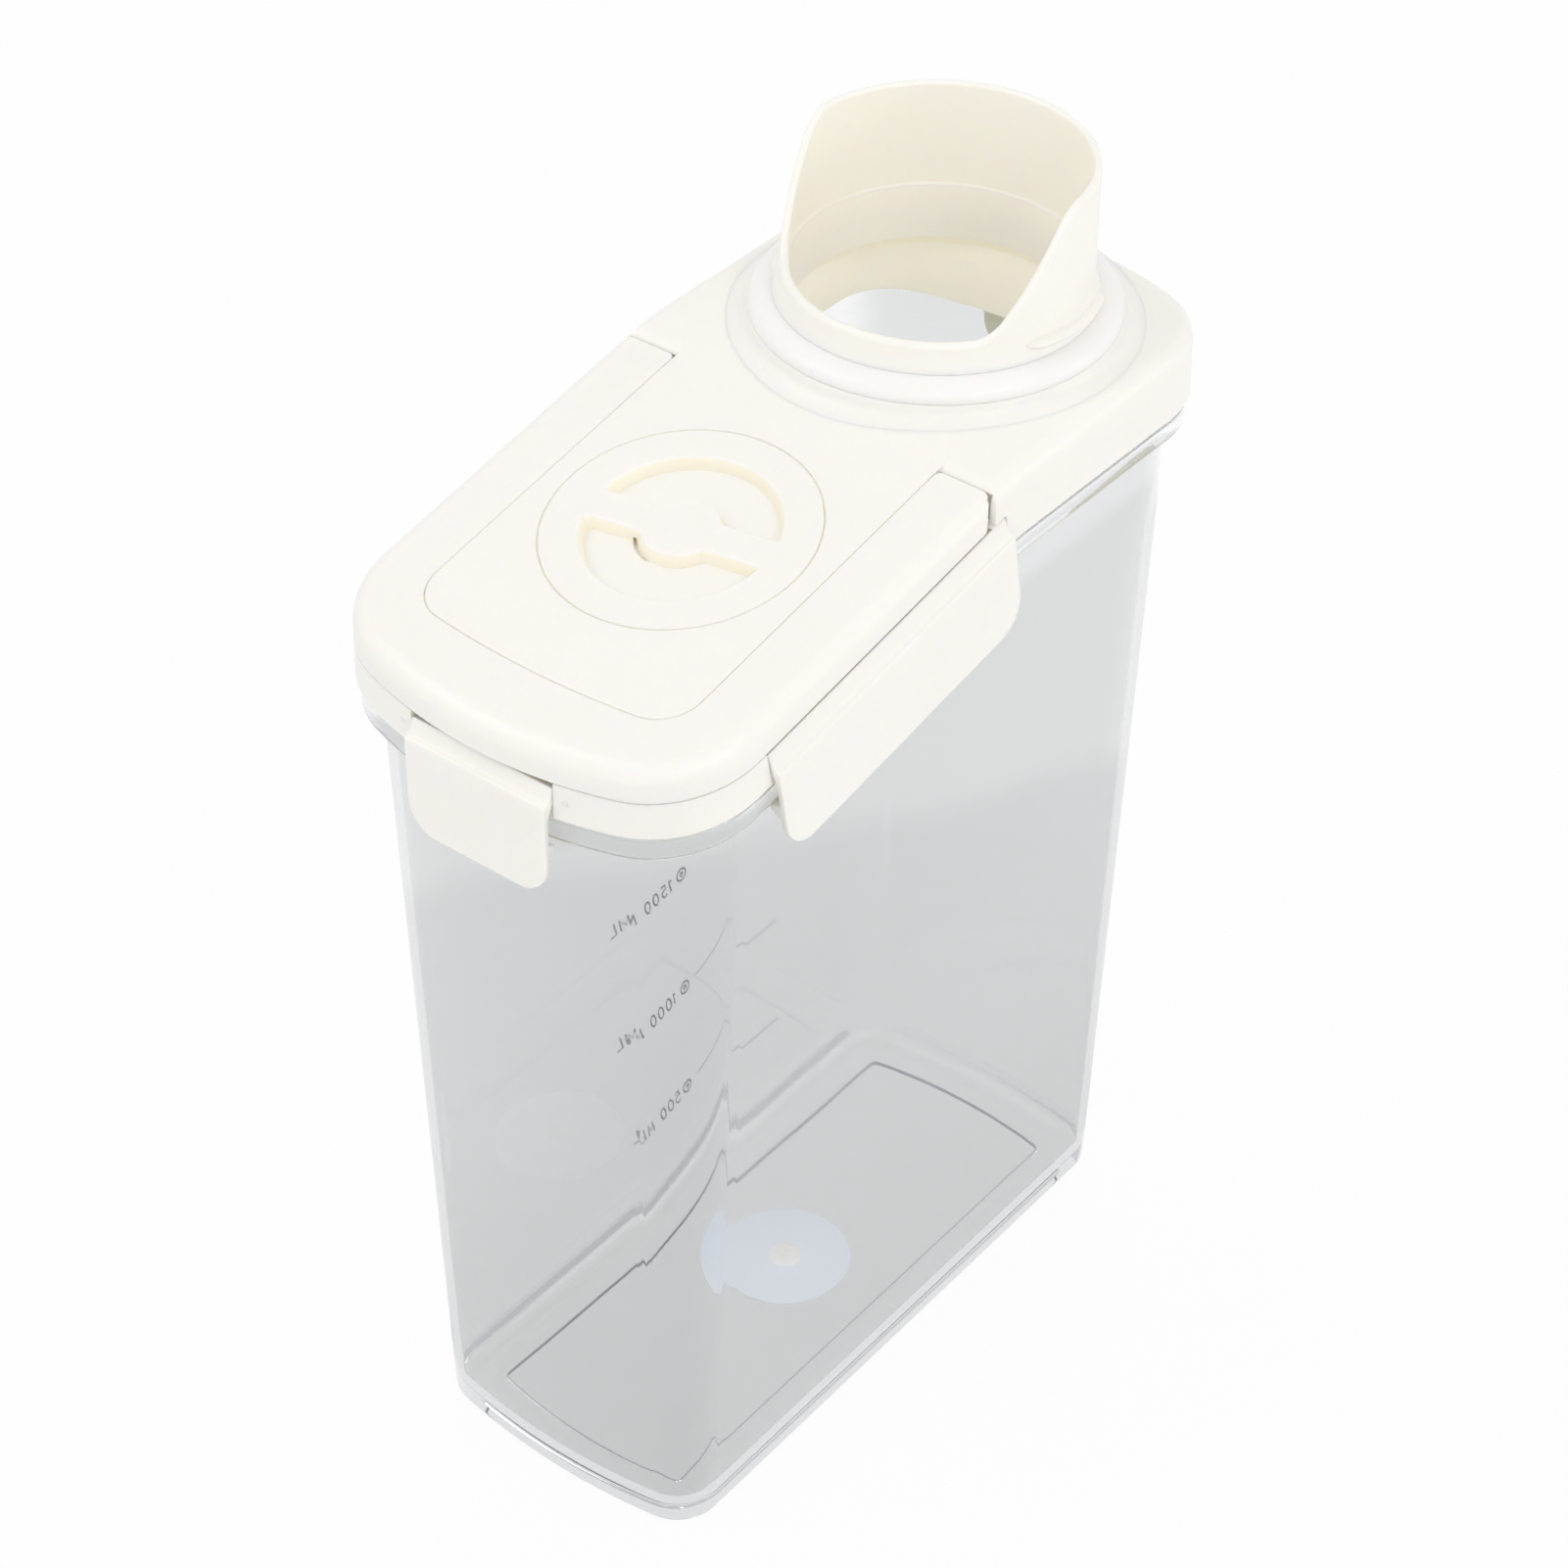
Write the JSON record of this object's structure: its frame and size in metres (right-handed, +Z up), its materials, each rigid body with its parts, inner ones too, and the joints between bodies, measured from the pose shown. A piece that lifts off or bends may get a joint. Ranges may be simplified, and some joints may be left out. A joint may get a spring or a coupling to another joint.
{
  "type": "cereal container with flip spout",
  "caption": "Tall clear food container with a slanted clip-on lid, an open pouring spout, a handle that flips up and a twist-off desiccant cap.",
  "frame": {"origin": "centre of the foot, on the table", "axes": "+Z up, +Y from the front clip to the spout, +X to the right seen from the front clip"},
  "size_m": [0.11, 0.2104, 0.3035],
  "materials": {
    "clear_plastic": "clear, slightly grey",
    "cream_plastic": "satin cream",
    "rod_plastic": "smooth cream",
    "silicone": "milky translucent silicone"
  },
  "bodies": {
    "base": {"container": "clear_plastic", "lid": "cream_plastic", "lid_gasket": "silicone", "spout": "cream_plastic", "spout_seal": "silicone", "desiccant_cup": "cream_plastic", "handle_pin_left": "rod_plastic", "handle_pin_right": "rod_plastic", "clip_pin_left": "rod_plastic", "clip_pin_right": "rod_plastic", "clip_pin_front": "rod_plastic", "clip_pin_back": "rod_plastic"},
    "handle": {"handle": "cream_plastic"},
    "desiccant_cap": {"desiccant_cap": "cream_plastic", "desiccant_seal": "silicone"},
    "clip_left": {"clip_left": "cream_plastic"},
    "clip_right": {"clip_right": "cream_plastic"},
    "clip_front": {"clip_front": "cream_plastic"},
    "clip_back": {"clip_back": "cream_plastic"}
  },
  "joints": [
    {"name": "handle_lift", "type": "hinge", "parent": "base", "child": "handle", "pos_m": [0, 0.0021, 0.25618], "axis": [-1, 0, 0], "range_deg": [0, 95]},
    {"name": "clip_left_swing", "type": "hinge", "parent": "base", "child": "clip_left", "pos_m": [-0.0513, -0.03032, 0.2425], "axis": [0, 0.9836, 0.1805], "range_deg": [0, 85]},
    {"name": "clip_right_swing", "type": "hinge", "parent": "base", "child": "clip_right", "pos_m": [0.0513, -0.03032, 0.2425], "axis": [0, -0.9836, -0.1805], "range_deg": [0, 85]},
    {"name": "clip_front_swing", "type": "hinge", "parent": "base", "child": "clip_front", "pos_m": [0, -0.1012, 0.22888], "axis": [-1, 0, 0], "range_deg": [0, 80]},
    {"name": "clip_back_swing", "type": "hinge", "parent": "base", "child": "clip_back", "pos_m": [0, 0.1012, 0.2501], "axis": [1, 0, 0], "range_deg": [0, 80]},
    {"name": "cap_twist", "type": "hinge", "parent": "base", "child": "desiccant_cap", "pos_m": [0, -0.03655, 0.25315], "axis": [0, -0.1805, 0.9836], "range_deg": [0, 45]}
  ]
}
